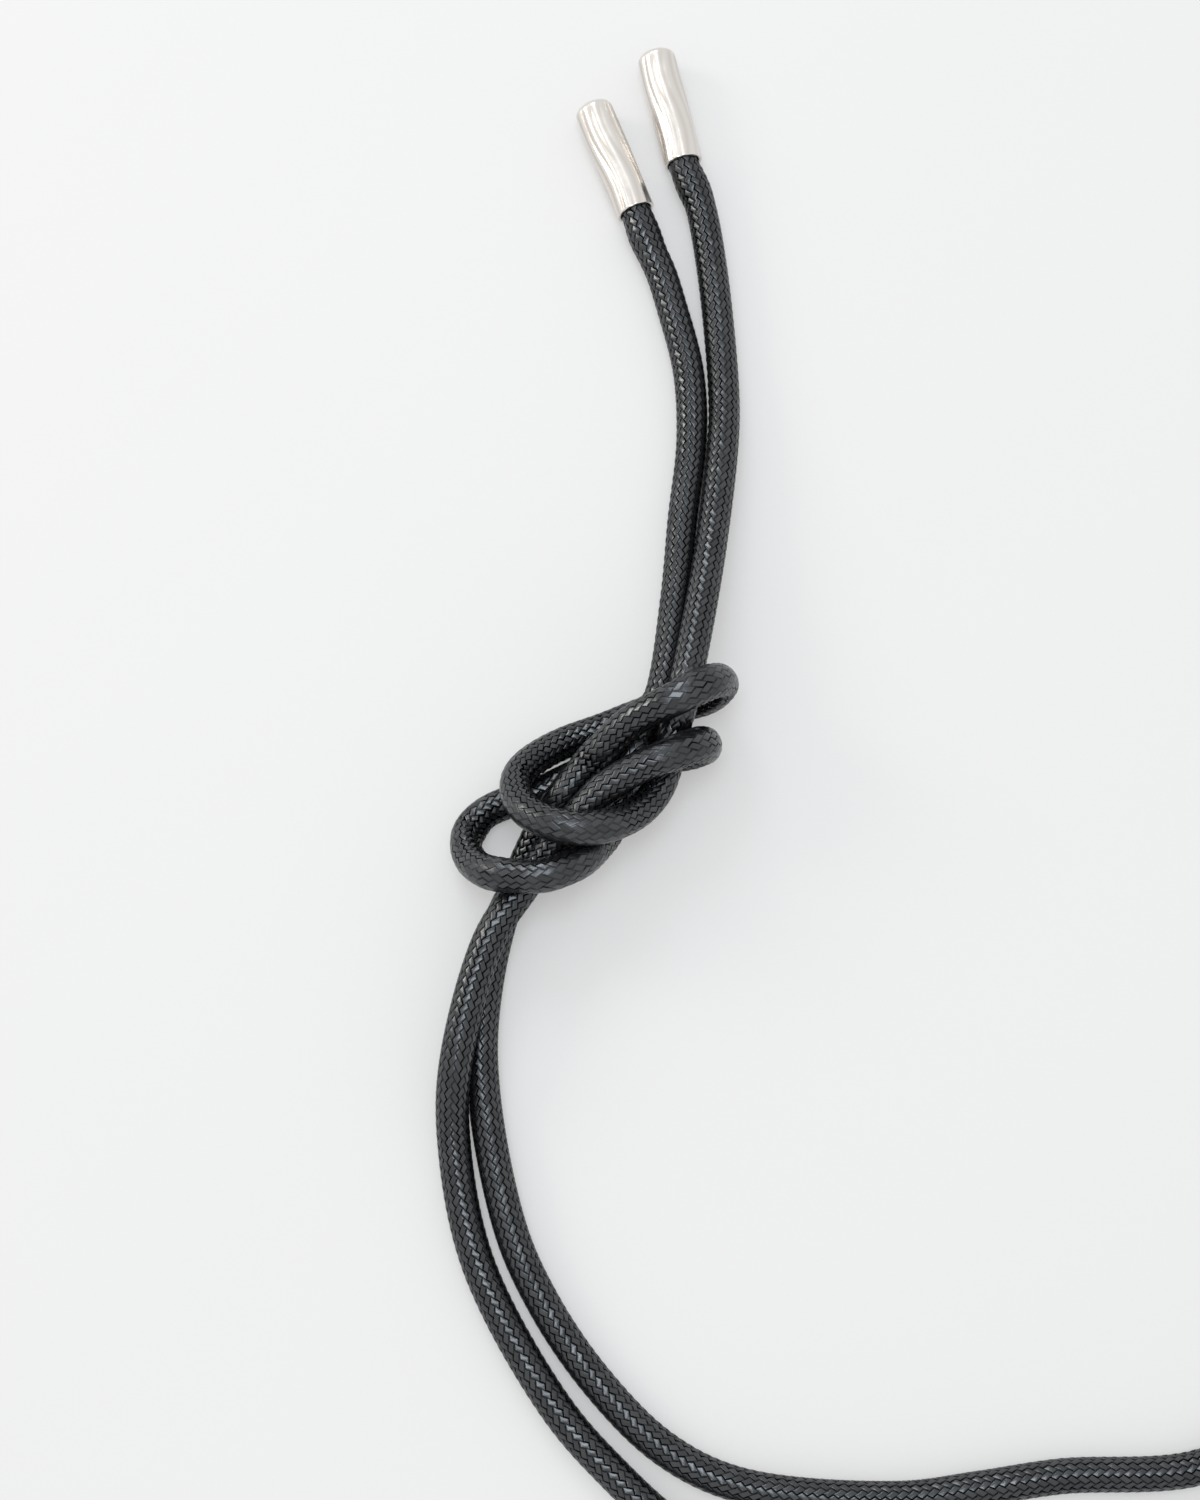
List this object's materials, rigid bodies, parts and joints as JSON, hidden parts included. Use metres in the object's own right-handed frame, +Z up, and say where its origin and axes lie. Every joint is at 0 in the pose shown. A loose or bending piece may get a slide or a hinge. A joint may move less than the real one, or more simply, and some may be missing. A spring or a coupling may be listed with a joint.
{
  "type": "cord necklace",
  "caption": "Long black braided cord necklace tied in a doubled overhand knot, with free tails ending in fluted silver caps, laid flat with its neck loop open.",
  "frame": {"origin": "on the table under the middle of the necklace's box", "axes": "+Z up from the table, +Y from the neck loop towards the capped ends, +X to the right in the picture"},
  "size_m": [0.2143, 0.2502, 0.0196],
  "materials": {
    "braided_cord": "tightly braided black cord, waxed to a soft sheen",
    "polished_silver": "polished silver with wavy flutes"
  },
  "bodies": {
    "root": {"cord": "braided_cord", "end_cap_left": "polished_silver", "end_cap_right": "polished_silver"}
  },
  "joints": []
}
